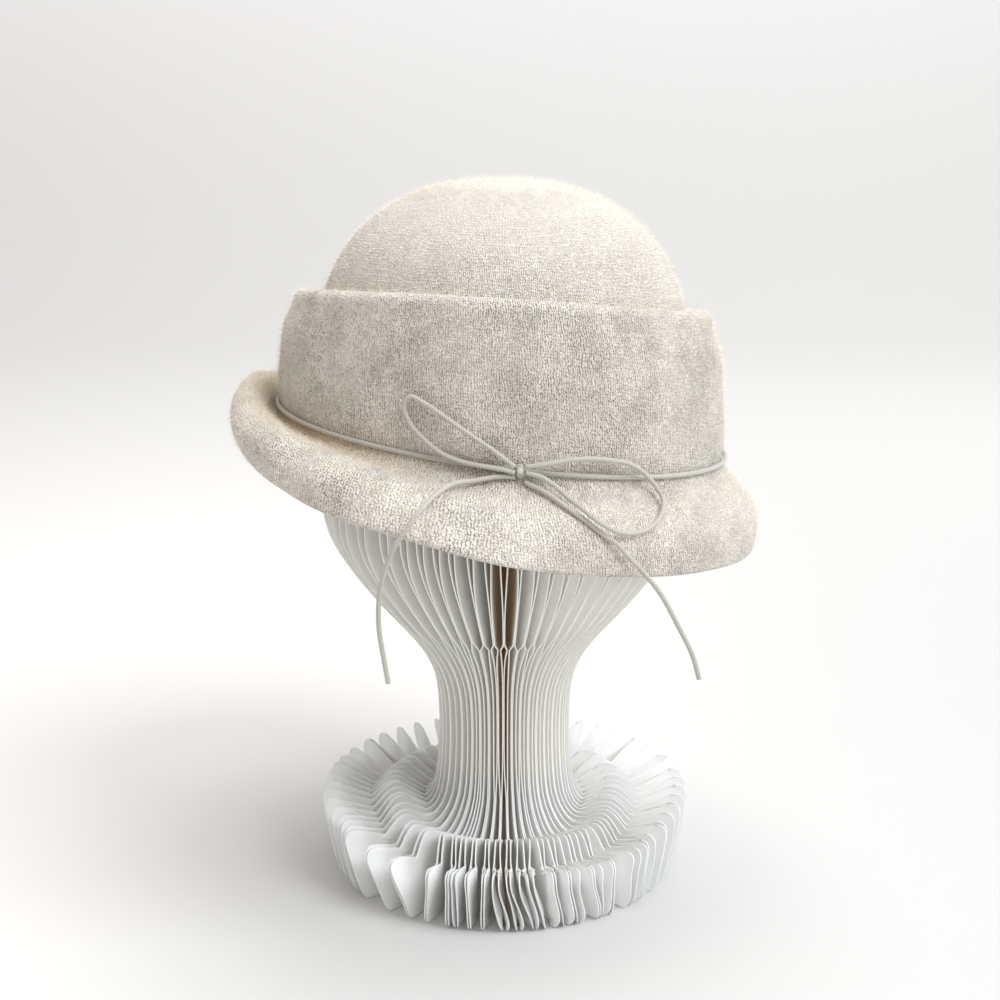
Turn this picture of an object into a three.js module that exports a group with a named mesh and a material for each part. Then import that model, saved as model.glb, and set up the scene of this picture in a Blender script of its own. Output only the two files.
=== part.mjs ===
// A cloche hat of thick knitted felt, tied with a thin cord, on a folded paper stand.
// Millimetres, +Z up. The origin is the centre of the stand's foot, on the surface it stands on.
// The hat's front points to -X and its back to +X. The bow is on the wearer's left, at -Y.
// An azimuth is counted from the front, positive towards the bow.

import * as THREE from "three";

// The felt wall.
const FELT = { crown: 3, brim: 4, columns: 48, centreX: -1 };

// The crown's dome, along the middle of its wall: half widths, foot height, rise and roundness.
const DOME = { halfX: 85.5, halfY: 76, footZ: 250, rise: 87.5, sideways: 2.15, upwards: 2.7, rows: 7 };

// Heights of the two rings that carry the hat's lines: front, back, the bow's side and the far side.
const CUFF_TOP = { front: 287, back: 276, bow: 294, far: 269 };
const WAIST = { front: 236, back: 209, bow: 222.5, far: 222.5, halfX: 104.2, halfY: 89.5, pinch: 0.8 };

// The tuck that stands the cuff off the dome: the felt runs down, turns up, and turns down again.
const TUCK = { depth: 16, innerTurn: 2.6, outerTurn: 3.3, innerSteps: 3, outerSteps: 4 };

// The cuff's outer wall, from the tuck to the waist: share of the way down, share of the widening.
const CUFF_ROWS = [
  { down: 0.22, widen: 0.58 },
  { down: 0.5, widen: 0.86 },
  { down: 0.8, widen: 1.02 },
  { down: 0.94, widen: 1.03 },
];

// The brim leaves the waist, spreads and ends in the directions given, as degrees above level.
const BRIM = [
  { azimuth: 0, length: 45, leave: -90, spread: 80, finish: -146 },
  { azimuth: 25, length: 48.5, leave: -82, spread: 54, finish: -118 },
  { azimuth: 50, length: 51, leave: -71, spread: 28, finish: -99 },
  { azimuth: 75, length: 52.5, leave: -68, spread: 3, finish: -60 },
  { azimuth: 100, length: 46.5, leave: -70, spread: -30, finish: -83 },
  { azimuth: 140, length: 45.5, leave: -72, spread: -48, finish: -100 },
  { azimuth: 180, length: 48, leave: -77, spread: -44, finish: -102 },
];
const BRIM_RUN = { rows: 9, substeps: 4, spreadAt: 0.35 };

// The stand: each row is a bend in the sheets' edge, and how far the gap beside it sinks in and down.
const STAND_SHEETS = 50;
const STAND_ROWS = [
  { radius: 84.8, z: 0, inward: 5, down: 0 },
  { radius: 94, z: 29, inward: 6, down: 2 },
  { radius: 90.5, z: 33, inward: 4, down: 7 },
  { radius: 76, z: 24, inward: 0, down: 8 },
  { radius: 60, z: 32, inward: 0, down: 8 },
  { radius: 46, z: 27.5, inward: 0, down: 7 },
  { radius: 37, z: 38, inward: 4, down: 4 },
  { radius: 32.5, z: 60, inward: 4, down: 0 },
  { radius: 33, z: 85, inward: 4, down: 0 },
  { radius: 37.5, z: 105, inward: 5, down: 0 },
  { radius: 49.6, z: 123, inward: 6, down: 0 },
  { radius: 65, z: 141, inward: 8, down: 0 },
  { radius: 80, z: 162, inward: 9, down: 0 },
  { radius: 88, z: 185, inward: 9, down: 0 },
  { radius: 84, z: 215, inward: 9, down: 0 },
  { radius: 73, z: 248, inward: 8, down: 0 },
  { radius: 63, z: 279, inward: 7, down: 0 },
  { radius: 44, z: 309, inward: 5, down: 0 },
  { radius: 19, z: 330, inward: 2, down: 0 },
];
const SEAT_GAP = 0.3;

// The cord: its section, how far its middle stands off the waist, and the knot that gathers it.
const CORD = { radius: 1.1, sides: 8, standOff: 3.1, waistSteps: 48 };
const KNOT = { x: 6.5, y: -93.2, z: 221.8, halfX: 1.8, halfY: 2.5, halfZ: 3.2, cordEnd: 2.2, sides: 12 };

// The knot's barrel from one end to its middle, as shares of its half width and half height.
const BARREL_ROWS = [
  { reach: 0, height: 1 },
  { reach: 0.6, height: 0.88 },
  { reach: 0.92, height: 0.5 },
  { reach: 1, height: 0 },
];

// The three finishes.
const FELT_FINISH = { color: 0xe8e0d2, roughness: 0.95, metalness: 0 };
const CORD_FINISH = { color: 0xb8b2a2, roughness: 0.8, metalness: 0 };
const PAPER_FINISH = { color: 0xf6f5f0, roughness: 0.85, metalness: 0 };

// The bow's routes, as x, y, z along the middle of the cord, from one end to the other.
const BOW_CORDS = [
  {
    name: "bow_loop_front",
    steps: 18,
    route: [
      [4.2, -94.7, 224], [-7, -94.6, 232.5], [-16, -94, 238.5], [-25.5, -92, 245], [-34.5, -90, 250.8],
      [-40, -88.5, 253], [-43, -87.5, 249.6], [-40.5, -88, 241.5], [-35, -89.5, 235.3],
      [-27.3, -91.5, 229.3], [-19, -93, 226], [-10.5, -94.3, 224.4], [-1.5, -95, 223], [4.2, -95, 221.5],
    ],
  },
  {
    name: "bow_loop_back",
    steps: 22,
    route: [
      [8.8, -94.7, 224], [17, -94.6, 225], [28, -92.5, 226.4], [36.5, -90, 226.4], [47, -86, 224.6],
      [53.8, -83, 222.5], [60.5, -79.5, 217.6], [65.8, -77, 211.2], [69, -78, 205.8], [68.6, -83, 201.4],
      [65, -90, 198], [59.6, -96, 196.2], [53, -100.5, 196.2], [46.5, -104.1, 198.4], [39.5, -105.3, 202.7],
      [33.1, -102.8, 207.4], [27.2, -98, 211], [21.8, -95.8, 215.5], [15.6, -95.2, 219.6], [8.8, -95, 221.5],
    ],
  },
  {
    name: "bow_tail_front",
    steps: 21,
    route: [
      [4.2, -93.4, 219.3], [-3.4, -94.6, 219.6], [-12.7, -98, 218.8], [-21.6, -105.5, 219.2],
      [-29.6, -118.8, 217], [-35.4, -126.6, 212], [-40.4, -129.5, 205.6], [-45, -129.5, 199],
      [-47.6, -128, 192.4], [-49.5, -127, 188], [-52.3, -124.5, 174.4], [-52.7, -122, 160.3],
      [-51, -120, 146.3], [-49.5, -119, 135.6],
    ],
  },
  {
    name: "bow_tail_back",
    steps: 18,
    route: [
      [8.4, -93.8, 217.2], [16.2, -96, 213.8], [25.1, -100.2, 208.6], [34.1, -102.9, 202.6],
      [41, -103.8, 197.2], [47.9, -104.8, 192.3], [52.8, -103.6, 186.4], [57.8, -102.4, 181],
      [66.4, -103, 170.5], [75.4, -103, 154], [81, -102, 142.5], [84.5, -101, 130.9],
    ],
  },
];

const radians = THREE.MathUtils.degToRad;
const { lerp, smoothstep } = THREE.MathUtils;

/** A ring's height at an azimuth: a smooth curve through its heights at the four quarters. */
function ringHeight(ring, azimuth) {
  const ends = (ring.front + ring.back) / 2;
  const sides = (ring.bow + ring.far) / 2;
  const level = (ends + sides) / 2 + ((ends - sides) / 2) * Math.cos(2 * azimuth);
  const alongSlope = ((ring.front - ring.back) / 2) * Math.cos(azimuth);
  const acrossSlope = ((ring.bow - ring.far) / 2) * Math.sin(azimuth);
  return level + alongSlope + acrossSlope;
}

/** A brim value at an azimuth: a smooth curve through the table's rows, the same on both sides. */
function brimValue(column, azimuth) {
  const turned = Math.abs(THREE.MathUtils.euclideanModulo(azimuth + Math.PI, 2 * Math.PI) - Math.PI);
  const degrees = THREE.MathUtils.radToDeg(turned);
  const last = BRIM.length - 1;
  const at = Math.min(last - 1, BRIM.findLastIndex((row) => row.azimuth <= degrees));
  const slope = (index) => {
    if (index === 0 || index === last) return 0;
    const before = BRIM[index - 1];
    const after = BRIM[index + 1];
    return (after[column] - before[column]) / (after.azimuth - before.azimuth);
  };
  const width = BRIM[at + 1].azimuth - BRIM[at].azimuth;
  const t = (degrees - BRIM[at].azimuth) / width;
  const start = BRIM[at][column] * (1 + 2 * t) * (1 - t) ** 2 + slope(at) * width * t * (1 - t) ** 2;
  const end = BRIM[at + 1][column] * t * t * (3 - 2 * t) - slope(at + 1) * width * t * t * (1 - t);
  return start + end;
}

/** A point of the felt: half widths of its oval, its azimuth and its height. */
function ovalPoint(halfX, halfY, azimuth, z) {
  return new THREE.Vector3(FELT.centreX - halfX * Math.cos(azimuth), -halfY * Math.sin(azimuth), z);
}

/** The dome from its top down to the tuck, at one azimuth. */
function domeRun(azimuth, tuckZ) {
  const lowest = Math.acos((tuckZ - DOME.footZ) / DOME.rise);
  return Array.from({ length: DOME.rows + 1 }, (_, row) => {
    const share = Math.cos((lowest * row) / DOME.rows);
    const reach = Math.max(0, 1 - share ** DOME.upwards) ** (1 / DOME.sideways);
    return { halfX: DOME.halfX * reach, halfY: DOME.halfY * reach, z: DOME.footZ + DOME.rise * share };
  });
}

/** A half turn of the felt about a centre, in steps, upwards or downwards. */
function halfTurn(start, centreOut, centreZ, radius, steps, side) {
  return Array.from({ length: steps + 1 }, (_, step) => {
    const angle = Math.PI * (1 - step / steps);
    const out = centreOut + radius * Math.cos(angle);
    const z = centreZ + side * radius * Math.sin(angle);
    return { halfX: start.halfX + out, halfY: start.halfY + out, z };
  });
}

/** The tuck and the cuff's outer wall, down to the waist, at one azimuth. */
function cuffRun(start, topZ, waistZ) {
  const { innerTurn, outerTurn } = TUCK;
  const crestZ = topZ - FELT.crown / 2 - outerTurn;
  const lower = halfTurn(start, innerTurn, start.z, innerTurn, TUCK.innerSteps, -1);
  const upper = halfTurn(start, 2 * innerTurn + outerTurn, crestZ, outerTurn, TUCK.outerSteps, 1);
  const edge = upper[upper.length - 1];
  const wall = CUFF_ROWS.map(({ down, widen }) => ({
    halfX: lerp(edge.halfX, WAIST.halfX, widen),
    halfY: lerp(edge.halfY, WAIST.halfY, widen),
    z: lerp(edge.z, waistZ, down),
  }));
  return [...lower.slice(1), ...upper, ...wall];
}

/** The brim from the waist to its edge, at one azimuth. */
function brimRun(azimuth, waistZ) {
  const [length, leave, spread, finish] = ["length", "leave", "spread", "finish"].map((column) =>
    brimValue(column, azimuth));
  const steps = BRIM_RUN.rows * BRIM_RUN.substeps;
  let out = -WAIST.pinch;
  let z = waistZ;
  const run = [{ halfX: WAIST.halfX + out, halfY: WAIST.halfY + out, z }];
  for (let step = 1; step <= steps; step += 1) {
    const along = (step - 0.5) / steps;
    const first = smoothstep(along, 0, BRIM_RUN.spreadAt);
    const second = smoothstep(along, BRIM_RUN.spreadAt, 1);
    const heading = radians(leave + (spread - leave) * first + (finish - spread) * second);
    out += (Math.cos(heading) * length) / steps;
    z += (Math.sin(heading) * length) / steps;
    if (step % BRIM_RUN.substeps === 0) {
      run.push({ halfX: WAIST.halfX + out, halfY: WAIST.halfY + out, z });
    }
  }
  return run;
}

/** The middle of the felt wall, from the crown's top to the brim's edge, at one azimuth. */
function feltRun(azimuth) {
  const topZ = ringHeight(CUFF_TOP, azimuth);
  const waistZ = ringHeight(WAIST, azimuth);
  const dome = domeRun(azimuth, topZ - TUCK.depth);
  const cuff = cuffRun(dome[dome.length - 1], topZ, waistZ);
  const brim = brimRun(azimuth, waistZ);
  const wallRows = dome.length + cuff.length;
  return [...dome, ...cuff, ...brim].map(({ halfX, halfY, z }, row) => ({
    point: ovalPoint(halfX, halfY, azimuth, z),
    half: lerp(FELT.crown, FELT.brim, smoothstep(row, wallRows, wallRows + BRIM_RUN.rows)) / 2,
  }));
}

/** A closed surface through rows of points whose first and last rows are single points. */
function loft(rows, columns) {
  const positions = [];
  const starts = rows.map((row) => {
    const start = positions.length / 3;
    row.forEach((point) => positions.push(point.x, point.y, point.z));
    return start;
  });
  const at = (row, column) => starts[row] + (rows[row].length === 1 ? 0 : column % columns);
  const indices = [];
  for (let row = 0; row < rows.length - 1; row += 1) {
    for (let column = 0; column < columns; column += 1) {
      const corners = [at(row, column), at(row + 1, column), at(row + 1, column + 1), at(row, column + 1)];
      if (rows[row + 1].length > 1) indices.push(corners[0], corners[1], corners[2]);
      if (rows[row].length > 1) indices.push(corners[0], corners[2], corners[3]);
    }
  }
  const geometry = new THREE.BufferGeometry();
  geometry.setAttribute("position", new THREE.Float32BufferAttribute(positions, 3));
  geometry.setIndex(indices);
  return geometry;
}

/** The felt wall: the middle surface moved half a thickness to each side, closed at the edge. */
function feltGeometry() {
  const { columns } = FELT;
  const runs = Array.from({ length: columns }, (_, column) => feltRun((2 * Math.PI * column) / columns));
  const last = runs[0].length - 1;
  const outer = [];
  const inner = [];
  const nose = [];
  for (let row = 0; row <= last; row += 1) {
    outer.push([]);
    inner.push([]);
    for (let column = 0; column < columns; column += 1) {
      const run = runs[column];
      const { point, half } = run[row];
      const before = run[Math.max(row - 1, 0)].point;
      const after = run[Math.min(row + 1, last)].point;
      const along = after.clone().sub(before).normalize();
      const next = runs[(column + 1) % columns][row].point;
      const previous = runs[(column + columns - 1) % columns][row].point;
      const round = next.clone().sub(previous);
      const normal = row === 0 ? new THREE.Vector3(0, 0, 1) : along.clone().cross(round).normalize();
      outer[row].push(point.clone().addScaledVector(normal, half));
      inner[row].push(point.clone().addScaledVector(normal, -half));
      if (row === last) nose.push(point.clone().addScaledVector(along, half));
    }
  }
  outer[0] = [outer[0][0]];
  inner[0] = [inner[0][0]];
  return loft([...outer, nose, ...inner.reverse()], columns);
}

/** The stand: sheets fanned about the axis, with a sunk gap between each two. */
function standGeometry() {
  const columns = 2 * STAND_SHEETS;
  const topZ = DOME.footZ + DOME.rise - FELT.crown / 2 - SEAT_GAP;
  const rings = STAND_ROWS.map(({ radius, z, inward, down }) =>
    Array.from({ length: columns }, (_, column) => {
      const angle = (2 * Math.PI * column) / columns;
      const sunk = column % 2;
      const reach = radius - inward * sunk;
      return new THREE.Vector3(reach * Math.cos(angle), reach * Math.sin(angle), z - down * sunk);
    }));
  return loft([[new THREE.Vector3(0, 0, topZ)], ...rings.reverse(), [new THREE.Vector3(0, 0, 0)]], columns);
}

/** The route of the cord round the waist, from the knot's back side right round to its front side. */
class WaistRoute extends THREE.Curve {
  getPoint(t, target = new THREE.Vector3()) {
    const halfX = WAIST.halfX + CORD.standOff - WAIST.pinch;
    const halfY = WAIST.halfY + CORD.standOff - WAIST.pinch;
    const azimuthAt = (x) => Math.acos((FELT.centreX - x) / halfX);
    const start = azimuthAt(KNOT.x + KNOT.cordEnd);
    const end = azimuthAt(KNOT.x - KNOT.cordEnd) + 2 * Math.PI;
    const azimuth = lerp(start, end, t);
    return target.copy(ovalPoint(halfX, halfY, azimuth, ringHeight(WAIST, azimuth)));
  }
}

/** A round cord of few sides along a route. */
function cordGeometry(route, steps) {
  const section = Array.from({ length: CORD.sides }, (_, side) => {
    const angle = (2 * Math.PI * side) / CORD.sides;
    return new THREE.Vector2(CORD.radius * Math.cos(angle), CORD.radius * Math.sin(angle));
  });
  return new THREE.ExtrudeGeometry(new THREE.Shape(section), { steps, extrudePath: route });
}

/** The knot: one wrap of the cord, as a small upright barrel. */
function knotGeometry() {
  const lower = BARREL_ROWS.map(({ reach, height }) => new THREE.Vector2(reach, -height));
  const upper = lower.slice(0, -1).reverse().map(({ x, y }) => new THREE.Vector2(x, -y));
  const barrel = new THREE.LatheGeometry([...lower, ...upper], KNOT.sides);
  barrel.rotateX(Math.PI / 2);
  barrel.scale(KNOT.halfX, KNOT.halfY, KNOT.halfZ);
  return barrel.translate(KNOT.x, KNOT.y, KNOT.z);
}

/** A named piece with its own finish. */
function piece(name, geometry, finish) {
  const mesh = new THREE.Mesh(geometry, new THREE.MeshStandardMaterial(finish));
  mesh.name = name;
  return mesh;
}

const hat = new THREE.Group();
hat.add(piece("felt_body", feltGeometry(), FELT_FINISH));
hat.add(piece("waist_cord", cordGeometry(new WaistRoute(), CORD.waistSteps), CORD_FINISH));
hat.add(piece("bow_knot", knotGeometry(), CORD_FINISH));
BOW_CORDS.forEach(({ name, steps, route }) => {
  const curve = new THREE.CatmullRomCurve3(route.map((point) => new THREE.Vector3(...point)));
  hat.add(piece(name, cordGeometry(curve, steps), CORD_FINISH));
});
hat.add(piece("paper_stand", standGeometry(), PAPER_FINISH));

export default hat;
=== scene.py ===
"""The looks of a cloche hat of thick knitted felt, tied with a cord, on a stand of fanned card.

Metres, +Z up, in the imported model's frame. The hat's front points to -X and the bow is at -Y.
An azimuth is counted from the front, positive towards the bow.
"""

import logging
import math
from collections.abc import Sequence
from dataclasses import dataclass
from enum import Enum

import bpy
import numpy as np
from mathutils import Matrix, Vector, noise


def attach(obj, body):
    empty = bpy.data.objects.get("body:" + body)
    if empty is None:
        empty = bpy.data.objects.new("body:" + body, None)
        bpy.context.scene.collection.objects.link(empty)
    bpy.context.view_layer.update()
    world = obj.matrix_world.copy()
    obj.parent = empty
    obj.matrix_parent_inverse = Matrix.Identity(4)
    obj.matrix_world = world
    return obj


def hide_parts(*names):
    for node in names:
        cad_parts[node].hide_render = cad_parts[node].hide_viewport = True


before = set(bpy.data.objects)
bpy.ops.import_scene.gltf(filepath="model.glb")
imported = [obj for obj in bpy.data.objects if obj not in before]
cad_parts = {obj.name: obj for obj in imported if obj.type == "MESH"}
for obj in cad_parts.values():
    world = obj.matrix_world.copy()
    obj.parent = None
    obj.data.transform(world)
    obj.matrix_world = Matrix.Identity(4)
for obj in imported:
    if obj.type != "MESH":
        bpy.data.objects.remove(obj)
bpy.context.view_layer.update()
log = logging.getLogger("cloche")
Colour = tuple[float, float, float]
Point = tuple[float, float, float]
Span = tuple[float, float]


class Slot(Enum):
    """The record's material slots."""

    FELT = "felt"
    CORD = "cord"
    PAPER = "paper"


class FarEnd(Enum):
    """What a free cord ends in."""

    OBJECT = "object"
    BARE = "bare"


# ---------------------------------------------------------------------------------------------
# Curves


def smoothstep(value: np.ndarray, low: float, high: float) -> np.ndarray:
    """A smooth rise from 0 at low to 1 at high.

    Args:
        value: The values to map.
        low: Where the rise starts.
        high: Where it ends.

    Returns:
        The risen values, from 0 to 1.
    """
    share = np.clip((np.asarray(value, float) - low) / (high - low), 0.0, 1.0)
    return share * share * (3 - 2 * share)


def smooth_through(knots: Sequence[float], values: Sequence[float], at: float) -> float:
    """A smooth curve through values at rising knots, level at both ends.

    Args:
        knots: Where the values are given.
        values: One value for each knot.
        at: Where the curve is read.

    Returns:
        The curve's value.
    """
    index = min(len(knots) - 2, max(0, int(np.searchsorted(knots, at, side="right")) - 1))
    rises = np.subtract(values[2:], values[:-2]) / np.subtract(knots[2:], knots[:-2])
    slopes = [0.0, *rises, 0.0]
    width = knots[index + 1] - knots[index]
    share = (at - knots[index]) / width
    start = values[index] * (1 + 2 * share) * (1 - share) ** 2
    end = values[index + 1] * share * share * (3 - 2 * share)
    bend = slopes[index] * (1 - share) - slopes[index + 1] * share
    return start + end + bend * width * share * (1 - share)


def distances(path: np.ndarray) -> np.ndarray:
    """How far along a path each of its points is."""
    return np.concatenate([[0.0], np.cumsum(np.linalg.norm(np.diff(path, axis=0), axis=1))])


def route_through(points: Sequence[Sequence[float]], spacing: float, steps: int = 24) -> np.ndarray:
    """Even points along one smooth curve through a route.

    Args:
        points: The route's points, in two or three dimensions.
        spacing: The distance between two points of the result.
        steps: How finely the curve is followed between two points of the route.

    Returns:
        The points along the curve, both ends included.
    """
    given = np.asarray(points, float)
    padded = np.vstack([2 * given[0] - given[1], given, 2 * given[-1] - given[-2]])
    fine = []
    for near in zip(padded, padded[1:], padded[2:], padded[3:]):
        lengths = [np.linalg.norm(after - before) for before, after in zip(near, near[1:])]
        times = np.cumsum([0.0, *np.sqrt(lengths)])
        for time in np.linspace(times[1], times[2], steps, endpoint=False):
            level = near
            for spans in (((0, 1), (1, 2), (2, 3)), ((0, 2), (1, 3)), ((1, 2),)):
                level = [
                    before + (after - before) * (time - times[low]) / (times[high] - times[low])
                    for before, after, (low, high) in zip(level, level[1:], spans)
                ]
            fine.append(level[0])
    fine = np.array(fine + [given[-1]])
    along = distances(fine)
    even = np.linspace(0.0, along[-1], max(2, round(along[-1] / spacing) + 1))
    return np.stack([np.interp(even, along, column) for column in fine.T], axis=1)


# ---------------------------------------------------------------------------------------------
# Modelling


def deselect_all() -> None:
    """Leaves nothing selected, so that an operator acts on its own piece alone."""
    if bpy.context.object and bpy.context.object.mode != "OBJECT":
        bpy.ops.object.mode_set(mode="OBJECT")
    bpy.ops.object.select_all(action="DESELECT")


def laid_grid(name: str, places: np.ndarray, across: np.ndarray,
              down: np.ndarray) -> bpy.types.Object:
    """A grid primitive whose vertices are laid over given places.

    Args:
        name: The new piece's name.
        places: The places, as rows of columns of points.
        across: The pattern coordinate of each column.
        down: The pattern coordinate of each row.

    Returns:
        The piece, with a UV map named "cloth" that holds the pattern coordinates.
    """
    rows, columns, _ = places.shape
    deselect_all()
    bpy.ops.mesh.primitive_grid_add(x_subdivisions=columns - 1, y_subdivisions=rows - 1,
                                    size=2, calc_uvs=True)
    piece = bpy.context.object
    piece.name = name
    piece.data.name = name
    layer = piece.data.uv_layers[0]
    layer.name = "cloth"
    flat = np.empty(len(layer.data) * 2)
    layer.data.foreach_get("uv", flat)
    flat = flat.reshape(-1, 2)
    pattern = [np.interp(flat[:, axis] * (len(shares) - 1), np.arange(len(shares)), shares)
               for axis, shares in enumerate((across, down))]
    layer.data.foreach_set("uv", np.stack(pattern, axis=1).ravel())
    piece.data.vertices.foreach_set("co", places.ravel())
    piece.data.update()
    return piece


def close_up(piece: bpy.types.Object, weld: float = 1e-6) -> None:
    """Merges a piece's seams and poles and points its faces outwards.

    Args:
        piece: The piece, whose ends meet.
        weld: How close two vertices lie to be one.
    """
    deselect_all()
    piece.select_set(True)
    bpy.context.view_layer.objects.active = piece
    bpy.ops.object.mode_set(mode="EDIT")
    bpy.ops.mesh.select_all(action="SELECT")
    bpy.ops.mesh.remove_doubles(threshold=weld)
    bpy.ops.mesh.normals_make_consistent(inside=False)
    bpy.ops.object.mode_set(mode="OBJECT")
    bpy.ops.object.shade_smooth()
    deselect_all()


def place_piece(piece: bpy.types.Object, material: bpy.types.Material,
                node: str) -> None:
    """Dresses a piece, rides it on the body, and hides the CAD node that it stands for.

    Args:
        piece: The piece.
        material: Its material.
        node: The CAD node that it replaces.
    """
    piece.data.materials.clear()
    piece.data.materials.append(material)
    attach(piece, "root")
    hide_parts(node)
    log.info("%s: %d faces", piece.name, len(piece.data.polygons))


# ---------------------------------------------------------------------------------------------
# Materials


@dataclass(frozen=True)
class Clouds:
    """Smooth noise: its waves to a metre, detail and roughness, and the span of it that shows."""

    scale: float
    detail: float = 2.0
    roughness: float = 0.5
    shows: Span | None = None


@dataclass(frozen=True)
class Wire:
    """A node's output, with which values are added, multiplied and shaped as Python numbers are."""

    shader: "Shader"
    socket: bpy.types.NodeSocket

    def _math(self, operation: str, *values: "Wire | float") -> "Wire":
        """One Math node on the given values."""
        return self.shader.node("ShaderNodeMath", {"operation": operation}, dict(enumerate(values)))

    def __add__(self, other: "Wire | float") -> "Wire":
        """The sum."""
        return self._math("ADD", self, other)

    __radd__ = __add__

    def __sub__(self, other: "Wire | float") -> "Wire":
        """The difference."""
        return self._math("SUBTRACT", self, other)

    def __rsub__(self, other: "Wire | float") -> "Wire":
        """The difference from a value."""
        return self._math("SUBTRACT", other, self)

    def __mul__(self, other: "Wire | float") -> "Wire":
        """The product."""
        return self._math("MULTIPLY", self, other)

    __rmul__ = __mul__

    def fract(self) -> "Wire":
        """What is left after the whole number."""
        return self._math("FRACT", self)

    def size(self) -> "Wire":
        """The value without its sign."""
        return self._math("ABSOLUTE", self)

    def sine(self) -> "Wire":
        """The sine of the value in radians."""
        return self._math("SINE", self)

    def raised(self, power: float) -> "Wire":
        """The value to a power."""
        return self._math("POWER", self, power)

    def rise(self, low: float, high: float) -> "Wire":
        """A smooth rise from 0 at low to 1 at high."""
        inputs = {"Value": self, "From Min": low, "From Max": high}
        return self.shader.node("ShaderNodeMapRange", {"interpolation_type": "SMOOTHSTEP"}, inputs)

    def wave(self) -> "Wire":
        """A smooth wave from 0 to 1, one for each whole number."""
        return (self * (2 * math.pi)).sine() * 0.5 + 0.5

    def parts(self) -> tuple["Wire", "Wire", "Wire"]:
        """A vector's three numbers."""
        made = self.shader.node("ShaderNodeSeparateXYZ", None, {0: self}).socket.node
        return tuple(Wire(self.shader, output) for output in made.outputs)


class Shader:
    """A material's nodes, added through one method."""

    def __init__(self, name: str) -> None:
        """Makes the material, with its Principled shader at hand.

        Args:
            name: The material's name.
        """
        self.material = bpy.data.materials.new(name)
        self.material.use_nodes = True
        self.tree = self.material.node_tree
        self.surface = self.tree.nodes["Principled BSDF"]

    def node(self, kind: str, settings: dict | None = None, inputs: dict | None = None,
             output: str | int = 0) -> Wire:
        """Adds a node.

        Args:
            kind: The node's type.
            settings: Its properties.
            inputs: Values or wires, by socket name or number.
            output: The output to hand back.

        Returns:
            The chosen output.
        """
        made = self.tree.nodes.new(kind)
        for key, value in (settings or {}).items():
            setattr(made, key, value)
        for key, value in (inputs or {}).items():
            self._feed(made.inputs[key], value)
        return Wire(self, made.outputs[output])

    def _feed(self, socket: bpy.types.NodeSocket, value: object) -> None:
        """Links a wire to a socket, or sets the socket's value.

        Args:
            socket: The socket.
            value: A wire, a number, a vector or a colour.
        """
        if isinstance(value, Wire):
            self.tree.links.new(value.socket, socket)
        elif isinstance(value, tuple) and len(value) == 3 and socket.type == "RGBA":
            socket.default_value = (*value, 1.0)
        else:
            socket.default_value = value

    def dress(self, **sockets: object) -> bpy.types.Material:
        """Feeds the Principled shader's sockets, named with _ for a blank.

        Args:
            sockets: Values or wires.

        Returns:
            The finished material.
        """
        for name, value in sockets.items():
            self._feed(self.surface.inputs[name.replace("_", " ")], value)
        return self.material

    def place(self) -> Wire:
        """The place on the piece, in the piece's own metres."""
        return self.node("ShaderNodeTexCoord", output="Object")

    def pattern(self) -> Wire:
        """The piece's own pattern coordinates."""
        return self.node("ShaderNodeUVMap", {"uv_map": "cloth"})

    def mix(self, share: Wire | float, first: Wire | Colour, second: Wire | Colour) -> Wire:
        """A colour between two, by a share."""
        inputs = {0: share, 6: first, 7: second}
        return self.node("ShaderNodeMix", {"data_type": "RGBA"}, inputs, output=2)

    def noise(self, place: Wire, clouds: Clouds) -> Wire:
        """Smooth noise from 0 to 1.

        Args:
            place: The place that it is read at.
            clouds: Its kind.

        Returns:
            The noise.
        """
        inputs = {"Vector": place, "Scale": clouds.scale, "Detail": clouds.detail,
                  "Roughness": clouds.roughness}
        made = self.node("ShaderNodeTexNoise", {"noise_dimensions": "3D"}, inputs)
        return made.rise(*clouds.shows) if clouds.shows else made

    def bump(self, height: Wire, distance: float, strength: float = 1.0,
             over: Wire | None = None) -> Wire:
        """A normal that is bent by a height.

        Args:
            height: The height, from 0 to 1.
            distance: What a height of 1 is in metres.
            strength: The share of the bend that shows.
            over: The normal to bend further.

        Returns:
            The normal.
        """
        inputs = {"Height": height, "Distance": distance, "Strength": strength}
        if over is not None:
            inputs["Normal"] = over
        return self.node("ShaderNodeBump", None, inputs)


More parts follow.
